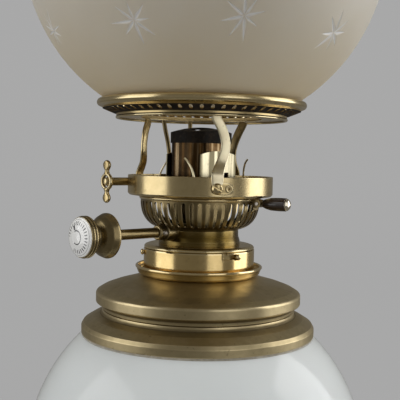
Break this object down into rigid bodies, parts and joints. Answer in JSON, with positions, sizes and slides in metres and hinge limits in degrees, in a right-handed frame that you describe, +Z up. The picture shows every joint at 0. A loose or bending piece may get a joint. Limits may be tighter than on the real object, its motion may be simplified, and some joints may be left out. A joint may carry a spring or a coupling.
{
  "type": "duplex oil lamp",
  "caption": "Table oil lamp: stepped brass foot, opal glass body, drop-in tank, twin-wick burner with gallery and snuffer, frosted globe shade.",
  "frame": {"origin": "middle of the foot's underside, on the surface that the lamp stands on", "axes": "+Z up the lamp's axis; -Y is the front, from which the winder knobs point forwards to the left"},
  "size_m": [0.194, 0.194, 0.4778],
  "materials": {
    "brass_satin": "satin, aged",
    "brass_bright": "polished",
    "brass_dark": "aged, dark",
    "iron": "rough casting",
    "felt": "felt",
    "gasket": "cement and cork",
    "opal_glass": "glossy opal",
    "frosted_glass": "acid-frosted",
    "blackened": "sooty matt",
    "steel": "turned",
    "cotton": "woven wick",
    "blackwood": "polished",
    "enamel": "glossy"
  },
  "bodies": {
    "stand": {"foot_felt": "felt", "foot": "brass_satin", "foot_weight": "iron", "foot_gasket": "gasket", "opal_body": "opal_glass", "rim_gasket": "gasket", "body_rim": "brass_satin"},
    "reservoir": {"reservoir_tank": "brass_dark", "reservoir_cover": "brass_satin", "drip_dish": "brass_satin", "burner_collar": "brass_bright"},
    "burner": {"burner_base": "brass_satin", "bayonet_studs": "brass_bright", "tube_plate": "brass_dark", "burner_neck": "brass_dark", "air_basket": "brass_dark", "air_diffuser": "brass_dark", "front_wick_tube": "brass_satin", "rear_wick_tube": "brass_satin", "flame_sleeve": "brass_bright", "flame_cap": "blackened", "draught_shields": "brass_bright", "spindle_brackets": "brass_dark", "winder_gland": "brass_dark", "gland_screw": "steel", "lever_bracket": "brass_dark", "lever_pin": "steel", "gallery_band": "brass_satin", "gallery_arms": "brass_bright", "arm_screws": "brass_dark", "arm_rivets": "brass_satin", "rear_stays": "brass_dark", "chimney_springs": "brass_bright", "shade_ring": "brass_satin"},
    "front_winder": {"front_winder_shaft": "brass_dark", "front_spur_wheels": "brass_bright", "front_knob": "brass_dark", "enamel_button": "enamel"},
    "rear_winder": {"rear_winder_tube": "brass_dark", "rear_driving_pinion": "brass_bright", "rear_knob": "brass_dark"},
    "rear_wick_drive": {"rear_spindle": "brass_dark", "rear_driven_pinion": "brass_bright", "rear_spur_wheels": "brass_bright"},
    "front_wick_strip": {"front_wick": "cotton"},
    "rear_wick_strip": {"rear_wick": "cotton"},
    "snuffer_sleeves": {"snuffer": "brass_bright"},
    "snuffer_handle": {"snuffer_lever": "brass_dark", "lever_grip": "blackwood", "grip_cap": "steel"},
    "gallery_key": {"key_shaft": "brass_satin", "key_cam": "brass_bright", "key_bow": "brass_satin"},
    "globe": {"shade": "frosted_glass"}
  },
  "joints": [
    {"name": "reservoir_lift", "type": "slide", "parent": "stand", "child": "reservoir", "axis": [0, 0, 1], "range_m": [0, 0.09]},
    {"name": "burner_bayonet_turn", "type": "hinge", "parent": "reservoir", "child": "burner", "pos_m": [0, 0, 0.2281], "axis": [0, 0, -1], "range_deg": [0, 14]},
    {"name": "front_knob_turn", "type": "hinge", "parent": "burner", "child": "front_winder", "pos_m": [0.00102, -0.0011, 0.2402], "axis": [-0.7314, -0.682, 0], "range_deg": [-120, 53]},
    {"name": "rear_knob_turn", "type": "hinge", "parent": "burner", "child": "rear_winder", "pos_m": [0.00102, -0.0011, 0.2402], "axis": [-0.7314, -0.682, 0], "range_deg": [-120, 53]},
    {"name": "rear_drive_turn", "type": "hinge", "parent": "burner", "child": "rear_wick_drive", "pos_m": [-0.00102, 0.0011, 0.2332], "axis": [-0.7314, -0.682, 0], "range_deg": [-54, 121]},
    {"name": "front_wick_travel", "type": "slide", "parent": "burner", "child": "front_wick_strip", "axis": [0, 0, 1], "range_m": [-0.0091, 0.0041]},
    {"name": "rear_wick_travel", "type": "slide", "parent": "burner", "child": "rear_wick_strip", "axis": [0, 0, 1], "range_m": [-0.0091, 0.0041]},
    {"name": "snuffer_lever_tilt", "type": "hinge", "parent": "burner", "child": "snuffer_handle", "pos_m": [0.03118, -0.018, 0.2562], "axis": [0.5, 0.866, 0], "range_deg": [0, 26]},
    {"name": "snuffer_lift", "type": "slide", "parent": "burner", "child": "snuffer_sleeves", "axis": [0, 0, 1], "range_m": [0, 0.007]},
    {"name": "gallery_key_turn", "type": "hinge", "parent": "burner", "child": "gallery_key", "pos_m": [-0.0393, 0, 0.266], "axis": [-0.7314, -0.682, 0], "range_deg": [0, 90]},
    {"name": "shade_lift", "type": "slide", "parent": "burner", "child": "globe", "axis": [0, 0, 1], "range_m": [0, 0.06]}
  ],
  "couplings": [
    {"joint": "front_wick_travel", "follows": "front_knob_turn", "m_per_rad": 0.0043},
    {"joint": "rear_drive_turn", "follows": "rear_knob_turn", "ratio": -1},
    {"joint": "rear_wick_travel", "follows": "rear_knob_turn", "m_per_rad": 0.0043},
    {"joint": "snuffer_lift", "follows": "snuffer_lever_tilt", "m_per_rad": 0.0154}
  ]
}
